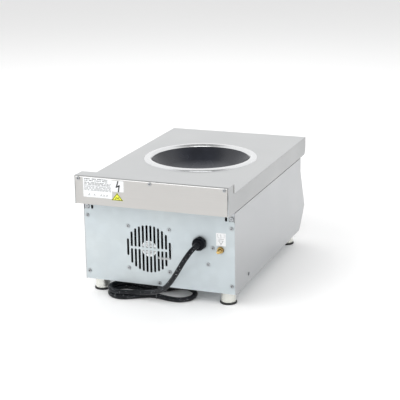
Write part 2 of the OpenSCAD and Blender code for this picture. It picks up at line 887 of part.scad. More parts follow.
module earth_nuts() {
    color("goldenrod") translate([stud_at.x, 0, stud_at.y]) {
        difference() {
            rod_y(8, panel_y, panel_y + 1.4);
            rod_y(stud_pitch_r + 0.1, panel_y - 1, panel_y + 3);
        }
        difference() {
            hex_y(13, panel_y + 1.4, panel_y + 7.4);
            rod_y(stud_pitch_r + 0.1, panel_y, panel_y + 9);
        }
    }
}

// ---- Feet ----

module at_feet() {
    for (x = [-foot_x, foot_x], y = [front_foot_y, rear_foot_y])
        translate([x, y, 0]) children();
}

module foot_sleeves() {
    color("lightgray") at_feet() {
        difference() {
            translate([0, 0, pad_h + 0.6]) cylinder(r = sleeve_r, h = base_z - pad_h - 0.6);
            translate([0, 0, pad_h]) cylinder(r = stem_r + 0.3, h = 24);
        }
        translate([0, 0, base_z - e]) cylinder(r = 5, h = 12);
    }
}

module foot_nuts() {
    color("darkgray") at_feet() difference() {
        translate([0, 0, base_top]) cylinder(d = 17 / cos(30), h = 7, $fn = 6);
        translate([0, 0, base_top - 1]) cylinder(r = 5.1, h = 9);
    }
}

module foot_pad(x, y) {
    color("black") translate([x, y, 0]) {
        rotate_extrude() polygon([
            [0, 0], [pad_r - 1, 0], [pad_r, 1],
            [pad_r, pad_h - 1], [pad_r - 1, pad_h], [0, pad_h]
        ]);
        cylinder(r = stem_r, h = 26);
    }
}

module foot_front_left() {
    foot_pad(-foot_x, front_foot_y);
}

module foot_front_right() {
    foot_pad(foot_x, front_foot_y);
}

module foot_rear_left() {
    foot_pad(-foot_x, rear_foot_y);
}

module foot_rear_right() {
    foot_pad(foot_x, rear_foot_y);
}

// ---- Mains lead ----

module power_cord() {
    color("black") tube(cord_route, cord_r);
}

module cord_tail() {
    color("black") tube(tail_route, cord_r, 10, [0, 0, 1]);
}

module hank_outline() {
    reach = hank_l / 2 - hank_w / 2;
    for (s = [-1, 1])
        translate([s * reach, 0]) circle(d = hank_w);
    square([2 * reach, hank_w], center = true);
}

module at_hank() {
    translate([hank_at.x, hank_at.y, 0]) rotate([0, 0, hank_turn]) children();
}

module cord_hank() {
    color("black") at_hank() difference() {
        linear_extrude(hank_h) hank_outline();
        difference() {
            box([tie_x - tie_w / 2, tie_x + tie_w / 2], [-hank_w, hank_w], [-1, hank_h + 1]);
            box([-hank_l, hank_l], [tie_t - hank_w / 2, hank_w / 2 - tie_t], [tie_t, hank_h - tie_t]);
        }
    }
}

module cord_tie() {
    color("gray") at_hank() difference() {
        box([tie_x - tie_w / 2, tie_x + tie_w / 2], [-hank_w / 2, hank_w / 2], [0, hank_h]);
        box([-hank_l, hank_l], [tie_t - hank_w / 2, hank_w / 2 - tie_t], [tie_t, hank_h - tie_t]);
    }
}

module cord_cores() {
    colors = ["saddlebrown", "royalblue", "yellowgreen"];
    translate(tail_route[len(tail_route) - 1]) rotate([0, 0, tail_turn])
        for (i = [0:2]) color(colors[i]) tube([
            for (k = [0:4]) [k * core_l / 4 - 0.5, (i - 1) * 4.3 - k * (2.4 - 1.2 * i), core_r - cord_r]
        ], core_r, 8, [0, 0, 1]);
}

top_plate();
rear_cover();
trim_ring();
bowl_seal();
glass_bowl();
left_side_panel();
right_side_panel();
rear_panel();
base_pan();
control_panel();
support_rails();
corner_brackets();
bowl_insulation();
induction_coil();
coil_carrier();
ferrite_bars();
coil_tray();
coil_posts();
temperature_sensor();
sensor_spring();
power_board();
board_standoffs();
heat_sink();
power_transistors();
bridge_rectifier();
bus_capacitors();
resonant_capacitors();
filter_choke();
filter_board();
terminal_block();
fan_frame();
fan_rotor();
fan_screws();
control_board();
display_window();
knob_potentiometer();
power_knob();
switch_body();
switch_rocker();
cable_gland();
gland_lock_nut();
earth_stud();
earth_nuts();
foot_sleeves();
foot_nuts();
foot_front_left();
foot_front_right();
foot_rear_left();
foot_rear_right();
casing_screws();
cover_screws();
coil_leads();
mains_wires();
power_cord();
cord_hank();
cord_tail();
cord_cores();
cord_tie();
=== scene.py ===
"""The look of the table-top induction wok hob.

Camera, materials, mains lead, small surface pieces, sheet edges, stage and light.
"""

import json
import math
import random

import bmesh
import bpy
from mathutils import Matrix, Quaternion, Vector


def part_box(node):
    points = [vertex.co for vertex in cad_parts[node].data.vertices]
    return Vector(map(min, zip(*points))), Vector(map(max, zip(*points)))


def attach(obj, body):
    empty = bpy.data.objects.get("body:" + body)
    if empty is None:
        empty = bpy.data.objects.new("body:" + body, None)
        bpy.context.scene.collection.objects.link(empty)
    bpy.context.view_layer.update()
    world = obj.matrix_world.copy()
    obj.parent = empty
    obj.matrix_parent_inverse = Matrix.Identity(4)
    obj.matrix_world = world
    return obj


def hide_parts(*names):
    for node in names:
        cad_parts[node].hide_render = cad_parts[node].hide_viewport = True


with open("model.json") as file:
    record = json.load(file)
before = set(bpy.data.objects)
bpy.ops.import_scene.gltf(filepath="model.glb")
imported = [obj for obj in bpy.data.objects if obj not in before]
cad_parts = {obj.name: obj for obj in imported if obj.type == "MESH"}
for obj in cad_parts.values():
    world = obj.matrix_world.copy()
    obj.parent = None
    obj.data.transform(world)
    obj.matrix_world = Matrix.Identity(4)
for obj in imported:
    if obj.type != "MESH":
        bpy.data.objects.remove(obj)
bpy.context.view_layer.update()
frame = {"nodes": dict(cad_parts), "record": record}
scene = bpy.context.scene
scene.view_settings.view_transform = "Standard"

MM = 0.001
CASING = "casing"
UP = Vector((0, 0, 1))
TO_REAR = Vector((0, 1, 0))


# ---- Camera ----

def direction(azimuth, elevation):
    """Unit vector from the hob towards a viewer. Azimuth 0 is the front and 180 the rear."""
    a, e = math.radians(azimuth), math.radians(elevation)
    return Vector((math.sin(a) * math.cos(e), -math.cos(a) * math.cos(e), math.sin(e)))


def make_camera():
    data = bpy.data.cameras.new("camera")
    data.sensor_width = 36
    data.lens = 109.8
    data.clip_end = 200
    camera = bpy.data.objects.new("camera", data)
    scene.collection.objects.link(camera)
    back = direction(200.73, 16.08)
    roll = math.radians(-0.8)
    camera.rotation_mode = "QUATERNION"
    camera.rotation_quaternion = Quaternion(back, roll) @ (-back).to_track_quat("-Z", "Y")
    camera.location = (-1.0652, 2.8040, 1.0374)
    scene.camera = camera


make_camera()


# ---- Material building ----

MIX_A, MIX_B, MIX_RESULT = 6, 7, 2  # the colour sockets of Blender's Mix node


class Shader:
    """A Principled material with short helpers for its node tree."""

    def __init__(self, name, color, rough=0.5, metal=0.0, **sockets):
        self.material = bpy.data.materials.new(name)
        self.material.use_nodes = True
        self.tree = self.material.node_tree
        self.bsdf = self.tree.nodes["Principled BSDF"]
        self.color = tuple(color)
        self.set("Base Color", (*color, 1))
        self.set("Roughness", rough)
        self.set("Metallic", metal)
        for socket, value in sockets.items():
            self.set(socket.replace("_", " "), value)
        self.coords = self.node("ShaderNodeTexCoord").outputs["Object"]

    def set(self, socket, value):
        self.bsdf.inputs[socket].default_value = value

    def node(self, kind, **values):
        made = self.tree.nodes.new(kind)
        for key, value in values.items():
            setattr(made, key, value)
        return made

    def link(self, a, b):
        self.tree.links.new(a, b)

    def noise(self, scale, detail=3, stretch=(1, 1, 1), at=(0, 0, 0)):
        mapping = self.node("ShaderNodeMapping")
        mapping.inputs["Scale"].default_value = stretch
        mapping.inputs["Location"].default_value = at
        self.link(self.coords, mapping.inputs["Vector"])
        made = self.node("ShaderNodeTexNoise")
        made.inputs["Scale"].default_value = scale
        made.inputs["Detail"].default_value = detail
        made.inputs["Roughness"].default_value = 0.55
        self.link(mapping.outputs["Vector"], made.inputs["Vector"])
        return made.outputs["Fac"]

    def ramp(self, source, low, high, a=0.0, b=1.0):
        made = self.node("ShaderNodeMapRange")
        made.inputs["From Min"].default_value = low
        made.inputs["From Max"].default_value = high
        made.inputs["To Min"].default_value = a
        made.inputs["To Max"].default_value = b
        self.link(source, made.inputs["Value"])
        return made.outputs["Result"]

    def mix(self, factor, a, b):
        made = self.node("ShaderNodeMix", data_type="RGBA")
        for socket, value in ((made.inputs[MIX_A], a), (made.inputs[MIX_B], b)):
            if hasattr(value, "is_linked"):
                self.link(value, socket)
            else:
                socket.default_value = (*value, 1)
        self.link(factor, made.inputs["Factor"])
        return made.outputs[MIX_RESULT]

    def multiply(self, a, b):
        made = self.node("ShaderNodeMix", data_type="RGBA", blend_type="MULTIPLY")
        made.inputs["Factor"].default_value = 1
        self.link(a, made.inputs[MIX_A])
        self.link(b, made.inputs[MIX_B])
        return made.outputs[MIX_RESULT]

    def darken(self, factor):
        """Multiply whatever already feeds the base colour."""
        base = self.bsdf.inputs["Base Color"]
        self.link(self.multiply(base.links[0].from_socket, factor), base)

    def tones(self, factor, a, b):
        """Base colour between a times and b times the plain colour."""
        result = self.mix(factor, [c * a for c in self.color], [c * b for c in self.color])
        self.link(result, self.bsdf.inputs["Base Color"])
        return result

    def roughness(self, factor, low, high):
        self.link(self.ramp(factor, 0.3, 0.7, low, high), self.bsdf.inputs["Roughness"])

    def shade_flanks(self, amount):
        """Painted shade: darker metal colour on upright faces than on the level face."""
        split = self.node("ShaderNodeSeparateXYZ")
        self.link(self.node("ShaderNodeNewGeometry").outputs["Normal"], split.inputs["Vector"])
        self.darken(self.ramp(split.outputs["Z"], 0.3, 0.9, amount, 1.0))

    def crevice_shade(self, reach):
        """Painted shade: darker base colour in seams and round fixings, on faces that have another face
        within reach.
        """
        near = self.node("ShaderNodeAmbientOcclusion", samples=8)
        near.inputs["Distance"].default_value = reach
        self.darken(self.ramp(near.outputs["AO"], 0.45, 0.97, 0.42, 1.0))

    def bump(self, height, distance):
        made = self.node("ShaderNodeBump")
        made.inputs["Strength"].default_value = 1
        made.inputs["Distance"].default_value = distance
        self.link(height, made.inputs["Height"])
        self.link(made.outputs["Normal"], self.bsdf.inputs["Normal"])


# How near another face must be for the painted shade in seams and round fixings.
CREVICE_SHADE_REACH = 0.005


def brushed(
    name, color, rough=0.36, lines=(3, 260, 260), depth=0.00004, wear=0.06,
    flanks=1.0, metal=1.0, crevice_shade=CREVICE_SHADE_REACH,
):
    """Ground metal: fine lines across the stretched axis, soft cloudy patches and slight handling marks,
    with painted shade on upright faces and near other faces where asked.
    """
    s = Shader(name, color, rough, metal)
    grain = s.noise(1.0, 4, lines)
    cloud = s.noise(7, 3, at=(3, 1, 2))
    blend = s.node("ShaderNodeMath", operation="MULTIPLY_ADD")
    s.link(grain, blend.inputs[0])
    blend.inputs[1].default_value = 0.55
    s.link(s.ramp(cloud, 0.3, 0.7, 0, 0.45), blend.inputs[2])
    s.tones(s.ramp(blend.outputs[0], 0.3, 0.75), 1 - wear, 1 + wear * 0.4)
    s.roughness(blend.outputs[0], rough - 0.07, rough + 0.08)
    s.bump(grain, depth)
    if flanks < 1:
        s.shade_flanks(flanks)
    if crevice_shade:
        s.crevice_shade(crevice_shade)
    return s.material


def plastic(name, color, rough=0.45, grain=900, depth=0.00003, tone=0.12, **sockets):
    """Moulded plastic or rubber with a fine grain and faint patches."""
    s = Shader(name, color, rough, 0.0, **sockets)
    fine = s.noise(grain, 2)
    patch = s.noise(30, 3, at=(5, 2, 1))
    s.tones(s.ramp(patch, 0.35, 0.65), 1 - tone, 1 + tone)
    s.roughness(patch, rough - 0.06, rough + 0.07)
    s.bump(fine, depth)
    return s.material


def galvanised():
    """Pale zinc-coated sheet: large soft spangle, drifting tint and a fine rolled grain."""
    s = Shader("galvanised_sheet", (0.60, 0.665, 0.695), 0.42, 0.5)
    spangle = s.node("ShaderNodeTexVoronoi", feature="SMOOTH_F1")
    spangle.inputs["Scale"].default_value = 55
    s.link(s.coords, spangle.inputs["Vector"])
    cloud = s.noise(5, 3, at=(2, 7, 4))
    crystal = s.ramp(spangle.outputs["Color"], 0.2, 0.8)
    tint = s.mix(s.ramp(cloud, 0.35, 0.65), (0.53, 0.585, 0.61), (0.57, 0.615, 0.625))
    shade = s.mix(crystal, (0.97, 0.97, 0.97), (1.02, 1.02, 1.02))
    s.link(s.multiply(tint, shade), s.bsdf.inputs["Base Color"])
    s.roughness(s.noise(40, 3, (1, 1, 6)), 0.36, 0.48)
    s.bump(s.noise(120, 4, (4, 1, 1)), 0.00004)
    # Painted shade: base colour darker near other faces.
    s.crevice_shade(CREVICE_SHADE_REACH)
    return s.material


def rubber_lead():
    """Matt black rubber sheath with pale dust flecks and faint rubbed streaks."""
    s = Shader("lead_rubber", (0.020, 0.021, 0.024), 0.5, 0.0, Specular_IOR_Level=0.22)
    flecks = s.ramp(s.noise(330, 2, at=(1, 1, 9)), 0.64, 0.70)
    rubbed = s.ramp(s.noise(60, 4, at=(4, 4, 4)), 0.45, 0.75)
    base = s.mix(rubbed, (0.004, 0.005, 0.007), (0.014, 0.016, 0.020))
    s.link(s.mix(flecks, base, (0.30, 0.31, 0.32)), s.bsdf.inputs["Base Color"])
    s.roughness(rubbed, 0.42, 0.58)
    s.bump(s.noise(700, 3), 0.00006)
    return s.material


BOWL_Y = -0.019
BOWL_FLOOR = 0.214


def glass_ceramic():
    """Dark body-tinted glass-ceramic with a soft polish, faint haze, and painted light that makes the
    bottom paler.
    """
    s = Shader("glass_ceramic", (0.017, 0.019, 0.026), 0.24, 0.0, IOR=1.55)
    haze = s.noise(16, 4, at=(3, 3, 3))
    hazy_glass = s.tones(s.ramp(haze, 0.35, 0.7), 0.85, 1.35)
    # Painted light: the base colour turns paler towards the bottom of the bowl.
    from_bottom = s.node("ShaderNodeVectorMath", operation="DISTANCE")
    s.link(s.coords, from_bottom.inputs[0])
    from_bottom.inputs[1].default_value = (0, BOWL_Y, BOWL_FLOOR)
    painted_bottom_light = s.ramp(from_bottom.outputs["Value"], 0.06, 0.105, 1, 0)
    s.link(s.mix(painted_bottom_light, hazy_glass, (0.13, 0.135, 0.15)), s.bsdf.inputs["Base Color"])
    s.roughness(haze, 0.18, 0.30)
    s.bump(s.noise(300, 2), 0.00001)
    return s.material


def circuit_board():
    """Green solder mask over lighter copper tracks."""
    s = Shader("circuit_board", (0.02, 0.13, 0.05), 0.3)
    tracks = s.node("ShaderNodeTexBrick")
    tracks.inputs["Scale"].default_value = 60
    tracks.inputs["Mortar Size"].default_value = 0.03
    tracks.inputs["Color1"].default_value = (0.018, 0.12, 0.045, 1)
    tracks.inputs["Color2"].default_value = (0.022, 0.15, 0.06, 1)
    tracks.inputs["Mortar"].default_value = (0.06, 0.26, 0.10, 1)
    s.link(s.coords, tracks.inputs["Vector"])
    s.link(tracks.outputs["Color"], s.bsdf.inputs["Base Color"])
    s.bump(tracks.outputs["Fac"], 0.00005)
    return s.material


def printed(name, color, rough=0.42):
    """Ink or film on a label."""
    s = Shader(name, color, rough)
    s.tones(s.ramp(s.noise(200, 3), 0.35, 0.65), 0.93, 1.04)
    s.roughness(s.noise(60, 2), rough - 0.06, rough + 0.06)
    return s.material


# Painted shade in these metals: upright faces darker by the flanks factor, and base colour darker near
# other faces within the given reach.
STEEL = {
    "brushed_top": brushed("brushed_top", (0.645, 0.655, 0.66), flanks=0.70, crevice_shade=0.0008),
    "steel_panel": brushed("steel_panel", (0.54, 0.55, 0.56), 0.40, (260, 3, 260)),
    "cover_steel": brushed("cover_steel", (0.54, 0.53, 0.515), 0.38, crevice_shade=0.002),
    "zinc_steel": brushed("zinc_steel", (0.52, 0.54, 0.56), 0.42, (60, 60, 60), 0.00005, 0.12),
    "polished_ring": brushed(
        "polished_ring", (0.80, 0.81, 0.82), 0.18, (60, 60, 400), 0.00001, 0.03, metal=0.85, crevice_shade=0
    ),
    "spring_steel": brushed("spring_steel", (0.42, 0.42, 0.43), 0.3, (200, 200, 200)),
    "cast_aluminium": brushed("cast_aluminium", (0.62, 0.62, 0.63), 0.42, (300, 4, 300)),
    "brass": brushed("brass", (0.74, 0.52, 0.20), 0.26, (300, 40, 300), 0.00004, 0.2),
    "copper": brushed("copper", (0.70, 0.30, 0.15), 0.3, (500, 500, 500), 0.0001, 0.2),
}
LOOKS = {
    **STEEL,
    "galvanised": galvanised(),
    "glass_ceramic": glass_ceramic(),
    "circuit_board": circuit_board(),
    "cord_rubber": rubber_lead(),
    "silicone": plastic("silicone", (0.05, 0.05, 0.052), 0.6),
    "insulation": plastic("insulation", (0.80, 0.78, 0.72), 0.95, 400, 0.0004),
    "carrier_plastic": plastic("carrier_plastic", (0.64, 0.60, 0.47), 0.5),
    "ferrite": plastic("ferrite", (0.06, 0.06, 0.065), 0.4, 500, 0.00008),
    "sensor_ceramic": plastic("sensor_ceramic", (0.82, 0.81, 0.77), 0.35),
    "chip_epoxy": plastic("chip_epoxy", (0.025, 0.025, 0.026), 0.5, 1200, 0.00005),
    "capacitor_orange": plastic("capacitor_orange", (0.62, 0.20, 0.03), 0.25),
    "capacitor_yellow": plastic("capacitor_yellow", (0.70, 0.50, 0.08), 0.3),
    "choke": plastic("choke", (0.36, 0.13, 0.05), 0.3, 200, 0.0006, 0.3),
    "terminal_plastic": plastic("terminal_plastic", (0.72, 0.70, 0.60), 0.45),
    "fan_plastic": plastic("fan_plastic", (0.006, 0.006, 0.007), 0.5, Specular_IOR_Level=0.2),
    "wire_insulation": plastic("wire_insulation", (0.30, 0.10, 0.045), 0.4),
    "window": plastic("window", (0.055, 0.006, 0.009), 0.12, 200, 0.000005, 0.1, Coat_Weight=0.6),
    "knob_plastic": plastic("knob_plastic", (0.016, 0.016, 0.017), 0.38),
    "rocker_plastic": plastic("rocker_plastic", (0.42, 0.02, 0.012), 0.25, 500, 0.00001),
    "gland_plastic": plastic("gland_plastic", (0.002, 0.003, 0.005), 0.4, Specular_IOR_Level=0.12),
    # Painted shade on the foot sleeves: base colour darker near other faces.
    "foot_metal": brushed(
        "foot_metal", (0.78, 0.78, 0.73), 0.2, (200, 200, 200), 0.00001, 0.04, metal=0.7, crevice_shade=0.004
    ),
    "foot_rubber": plastic("foot_rubber", (0.016, 0.016, 0.016), 0.6, 600, 0.00008),
    "tie_plastic": plastic("tie_plastic", (0.10, 0.105, 0.11), 0.4),
}
LABEL_WHITE = printed("label_white", (0.76, 0.77, 0.78))
LABEL_INK = printed("label_ink", (0.11, 0.115, 0.12))
LABEL_FAINT = printed("label_faint", (0.25, 0.26, 0.27))
LABEL_YELLOW = printed("label_yellow", (0.75, 0.78, 0.05))
LABEL_OLIVE = printed("label_olive", (0.11, 0.11, 0.008))
# Dark ink for print, and also for the painted shade in the screw recesses.
DARK_INK_AND_SHADE = printed("dark_ink_and_shade", (0.035, 0.035, 0.038))
SEGMENT = plastic("segment_dim", (0.13, 0.018, 0.016), 0.2, 200, 0.000005)
WIRE_GREY = plastic("wire_grey", (0.40, 0.41, 0.42), 0.4)
WIRE_PALE = plastic("wire_pale", (0.50, 0.51, 0.51), 0.4)
# Bright metal for the painted highlight along the rear cover's upper edge.
EDGE_HIGHLIGHT = brushed("painted_edge_highlight", (0.90, 0.90, 0.89), 0.25, (3, 400, 400), 0.00001, 0.04, crevice_shade=0)
# Dark metal for the painted shade in the upstand's end seams.
SEAM_SHADE = brushed("painted_seam_shade", (0.22, 0.21, 0.20), 0.5, (400, 400, 400), 0.0001, 0.3)
CORE_BROWN = plastic("core_brown", (0.16, 0.06, 0.025), 0.35)
CORE_BLUE = plastic("core_blue", (0.03, 0.12, 0.42), 0.35)
CORE_GREEN = plastic("core_green", (0.30, 0.42, 0.03), 0.35)

for part in frame["record"]["subparts"]:
    node = frame["nodes"][part["node"]]
    node.data.materials.clear()
    node.data.materials.append(LOOKS[part["material_slot"]])


# ---- Mesh building ----

def place(obj, material, body=CASING):
    obj.data.materials.append(material)
    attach(obj, body)
    return obj


SHARP_ANGLE = math.radians(40)


def mesh_object(name, verts, faces):
    """A closed mesh from points in metres, smooth except at edges past the sharp angle."""
    data = bpy.data.meshes.new(name)
    data.from_pydata([tuple(v) for v in verts], [], faces)
    work = bmesh.new()
    work.from_mesh(data)
    bmesh.ops.recalc_face_normals(work, faces=work.faces)
    work.to_mesh(data)
    work.free()
    obj = bpy.data.objects.new(name, data)
    scene.collection.objects.link(obj)
    data.shade_smooth()
    data.set_sharp_from_angle(angle=SHARP_ANGLE)
    return obj


def scaled(*pairs):
    """Pairs of millimetres in metres."""
    return [(a * MM, b * MM) for a, b in pairs]


def basis(origin, along, up):
    """Matrix whose X is across, Y is up and Z points out along an axis, at an origin."""
    z = Vector(along).normalized()
    x = Vector(up).cross(z).normalized()
    y = z.cross(x)
    return Matrix.Translation(origin) @ Matrix((x, y, z)).transposed().to_4x4()


def bands(rows, sides, closed=False):
    """Faces between rows of points, each row a loop, and from the last row to the first where closed."""
    faces = []
    for i in range(rows if closed else rows - 1):
        j = (i + 1) % rows
        for k in range(sides):
            n = (k + 1) % sides
            faces.append((i * sides + k, i * sides + n, j * sides + n, j * sides + k))
    return faces


def capped(rows, sides):
    """Bands with a flat face on the first row and on the last."""
    last = (rows - 1) * sides
    return [*bands(rows, sides), tuple(range(sides))[::-1], tuple(range(last, last + sides))]


def turned(profile, around, segments, ripple):
    """Points turned about Z from (radius, height) pairs in metres, which a ripple may draw in."""
    verts = []
    for r, z in profile:
        for k in range(segments):
            a = 2 * math.pi * k / segments
            reach = ripple(r, z, a) if ripple else r
            verts.append(around @ Vector((reach * math.cos(a), reach * math.sin(a), z)))
    return verts


def lathe(profile, around, segments, ripple=None):
    """Points and faces of a solid turned from a profile that runs from its bottom to its top."""
    return turned(profile, around, segments, ripple), capped(len(profile), segments)


def ring(profile, around, segments, ripple=None):
    """Points and faces of a ring turned from a closed outline."""
    return turned(profile, around, segments, ripple), bands(len(profile), segments, closed=True)


def hexagon(half_flats):
    """Ripple that keeps a turned shape inside a hexagon."""
    def reach(r, z, a):
        side = (a + math.pi / 6) % (math.pi / 3) - math.pi / 6
        return min(r, half_flats / math.cos(side))
    return reach


def tube(line, radius, sides=14):
    """Points and faces of a round tube with closed ends along a line."""
    verts = []
    across = UP
    for i, point in enumerate(line):
        ahead = (line[min(i + 1, len(line) - 1)] - line[max(i - 1, 0)]).normalized()
        across = (across - ahead * across.dot(ahead)).normalized()
        other = ahead.cross(across)
        for k in range(sides):
            a = 2 * math.pi * k / sides
            verts.append(point + radius * (math.cos(a) * across + math.sin(a) * other))
    return verts, capped(len(line), sides)


def slab(outline, around, thick):
    """Points and faces of a flat piece from an outline in the plane of a basis."""
    n = len(outline)
    verts = [around @ Vector((x, y, z)) for z in (0, thick) for x, y in outline]
    faces = [tuple(range(n))[::-1], tuple(range(n, 2 * n))]
    faces += [(i, (i + 1) % n, n + (i + 1) % n, n + i) for i in range(n)]
    return verts, faces


def joined(parts):
    """Several (points, faces) as one."""
    verts, faces = [], []
    for v, f in parts:
        faces += [tuple(i + len(verts) for i in face) for face in f]
        verts += v
    return verts, faces


def rounded(width, height, radius, steps=6):
    """Outline of a rectangle with round corners about the origin."""
    points = []
    for cx, cy, start in ((1, 1, 0), (-1, 1, 90), (-1, -1, 180), (1, -1, 270)):
        for k in range(steps + 1):
            a = math.radians(start + 90 * k / steps)
            points.append((
                cx * (width / 2 - radius) + radius * math.cos(a),
                cy * (height / 2 - radius) + radius * math.sin(a),
            ))
    return points


def bar(x, y, width, height):
    """Outline of a plain rectangle with its lower left corner at x, y."""
    return [(x, y), (x + width, y), (x + width, y + height), (x, y + height)]


# ---- Mains lead ----

CORD_RADIUS = 6
HANK_MIDDLE = (26, 253)
HANK_TURN = math.radians(10)
HANK_REACH = 68
HANK_FOLD = 36
HANK_PINCH = 16
RUN_END = 54
RUN_STEP = 12
TIE_AT = -14
# Heights of the lead's middle: on a run below it, on its way down, and on the table.
TOP, BETWEEN, BOTTOM = 3 * CORD_RADIUS, 11, CORD_RADIUS
# Millimetres: x, y, z down from the gland, then along, across and up in the hank's own directions.
DROP = [
    (-105, 299, 152), (-105, 311, 151.5), (-103, 323, 148.5), (-99, 334, 141.5), (-93, 342, 131),
    (-86, 347, 118), (-78, 348, 104), (-69, 346, 90), (-59, 341, 76), (-49, 335, 64), (-38, 328, 53),
    (-26, 320.5, 43.5), (-12, 312.5, 35.5), (4, 305, 29),
]
LANDING = [(3, 45.5, 24), (19, 38.5, 20.6), (35, 34.2, 18.7), (51, 34, 18)]
LEAVING = [
    (18, -20.5), (6, -19), (-6, -20.3), (-18, -25.3), (-30, -32.2), (-42, -40.2), (-54, -47.5), (-66, -56),
    (-77, -63.5),
]


def at_hank(u, v, z):
    """Point, in millimetres, from a place along the hank, across it and above the table."""
    x = HANK_MIDDLE[0] + u * math.cos(HANK_TURN) - v * math.sin(HANK_TURN)
    y = HANK_MIDDLE[1] + u * math.sin(HANK_TURN) + v * math.cos(HANK_TURN)
    return Vector((x, y, z))


def eased(t):
    """Smooth step from 0 to 1."""
    t = min(max(t, 0), 1)
    return t * t * (3 - 2 * t)


def half_width(u):
    """Half the width between runs at a place along the hank: full at the folds, drawn in at the middle."""
    return HANK_PINCH + (HANK_FOLD - HANK_PINCH) * eased(abs(u) / HANK_REACH)


def fold_points(side, first, last):
    """The half turn at one end of the hank, down from one height to another by three quarters of it."""
    for degrees in range(90, -91, -15):
        a = math.radians(degrees)
        height = first + (last - first) * eased((90 - degrees) / 135)
        yield at_hank(side * (HANK_REACH + HANK_FOLD * math.cos(a)), side * HANK_FOLD * math.sin(a), height)


def lead_route():
    """Down from the gland, once round on top, once round on the table, and away under the hob."""
    back = range(RUN_END, -RUN_END - 1, -RUN_STEP)
    out = range(-RUN_END, RUN_END + 1, RUN_STEP)
    points = [Vector(p) for p in DROP]
    points += [at_hank(*p) for p in LANDING]
    points += fold_points(1, TOP, TOP)
    for u in back:
        sunk = (TOP - BETWEEN) * eased((TIE_AT - u) / RUN_END)
        points.append(at_hank(u, -half_width(u), TOP - sunk))
    points += fold_points(-1, BETWEEN, BOTTOM)
    points += [at_hank(u, half_width(u), BOTTOM) for u in out]
    points += fold_points(1, BOTTOM, BOTTOM)
    points += [at_hank(u, -half_width(u), BOTTOM) for u in back[:3]]
    points += [at_hank(u, v, BOTTOM) for u, v in LEAVING]
    return [p * MM for p in points]


SMOOTHING_STEPS = 6


def smoothed(points):
    """Centripetal Catmull-Rom curve through the points."""
    ends = [2 * points[0] - points[1], *points, 2 * points[-1] - points[-2]]
    line = []
    for p0, p1, p2, p3 in zip(ends, ends[1:], ends[2:], ends[3:]):
        d01, d12, d23 = ((b - a).length ** 0.5 for a, b in ((p0, p1), (p1, p2), (p2, p3)))
        m1 = ((p1 - p0) / d01 - (p2 - p0) / (d01 + d12) + (p2 - p1) / d12) * d12
        m2 = ((p2 - p1) / d12 - (p3 - p1) / (d12 + d23) + (p3 - p2) / d23) * d12
        for k in range(SMOOTHING_STEPS):
            t = k / SMOOTHING_STEPS
            line.append(
                (2 * t**3 - 3 * t**2 + 1) * p1 + (t**3 - 2 * t**2 + t) * m1
                + (3 * t**2 - 2 * t**3) * p2 + (t**3 - t**2) * m2
            )
    return line + [points[-1]]


def curve_object(name, line, radius):
    data = bpy.data.curves.new(name, "CURVE")
    data.dimensions = "3D"
    data.bevel_depth = radius
    data.bevel_resolution = 7
    data.use_fill_caps = True
    spline = data.splines.new("POLY")
    spline.points.add(len(line) - 1)
    for point, place_at in zip(spline.points, line):
        point.co = (*place_at, 1)
    obj = bpy.data.objects.new(name, data)
    scene.collection.objects.link(obj)
    return obj


def make_cores(end, ahead):
    """Three cores that fan out and droop from the end of the sheath, each with a crimped ferrule."""
    side = ahead.cross(UP).normalized()
    cores, ferrules = [], []
    for i, look in zip((-1, 0, 1), (CORE_BROWN, CORE_GREEN, CORE_BLUE)):
        route = []
        for t in (k / 8 for k in range(9)):
            onward, across, droop = t * 20 - 1, i * (2.2 + 3.2 * eased(t)), 3.4 * eased(t * 1.4)
            route.append(end + (ahead * onward + side * across - UP * droop) * MM)
        core = mesh_object(f"lead_core_{i + 2}", *tube(route, 2 * MM))
        cores.append(place(core, look))
        out = (route[-1] - route[-2]).normalized()
        around = basis(route[-1] - out * 3 * MM, out, UP)
        profile = scaled((2.35, 0), (2.35, 3), (1.35, 3.1), (1.35, 10), (1.0, 10.3))
        ferrules.append(lathe(profile, around, 20))
    ferrule = place(mesh_object("lead_ferrules", *joined(ferrules)), STEEL["zinc_steel"])
    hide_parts("cord_cores")
    return [*cores, ferrule]


def make_lead():
    line = smoothed(lead_route())
    radius = CORD_RADIUS * MM
    lead = place(curve_object("mains_lead", line, radius), LOOKS["cord_rubber"])
    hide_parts("power_cord", "cord_hank", "cord_tail")
    ends = make_cores(line[-1], (line[-1] - line[-3]).normalized())
    make_tie()


def hull(points):
    """Convex outline round points of a plane, in order."""
    def turn(a, b, c):
        return (b[0] - a[0]) * (c[1] - a[1]) - (b[1] - a[1]) * (c[0] - a[0])

    halves = []
    for ordered in (sorted(points), sorted(points, reverse=True)):
        chain = []
        for p in ordered:
            while len(chain) > 1 and turn(chain[-2], chain[-1], p) <= 0:
                chain.pop()
            chain.append(p)
        halves += chain[:-1]
    return halves


def make_tie():
    """Coated wire tie drawn round the three runs at the waist, with its two ends twisted together."""
    wire = 1
    reach = CORD_RADIUS + wire
    near = half_width(TIE_AT)
    outline = []
    for v, z in ((-near, TOP), (-near - 5, BOTTOM), (near, BOTTOM)):
        for a in (2 * math.pi * k / 24 for k in range(24)):
            outline.append((v + reach * math.cos(a), z + reach * math.sin(a)))
    drawn = hull(outline)
    loop = [at_hank(TIE_AT + 0.9 * math.sin(v / 6), v, max(z, wire)) * MM for v, z in [*drawn, drawn[0]]]
    parts = [tube(loop, wire * MM, 10)]
    for phase in (0, math.pi):
        twist = []
        for k in range(30):
            a = phase + 0.6 * k
            u, v = TIE_AT - 0.8 * k, 1 + 0.9 * math.cos(a) + 0.25 * k
            twist.append(at_hank(u, v, 21.4 + 0.9 * math.sin(a) - 0.006 * k * k) * MM)
        parts.append(tube(twist, 0.8 * MM, 8))
    tie = place(mesh_object("lead_tie", *joined(parts)), LOOKS["tie_plastic"])
    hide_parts("cord_tie")
    return tie


make_lead()


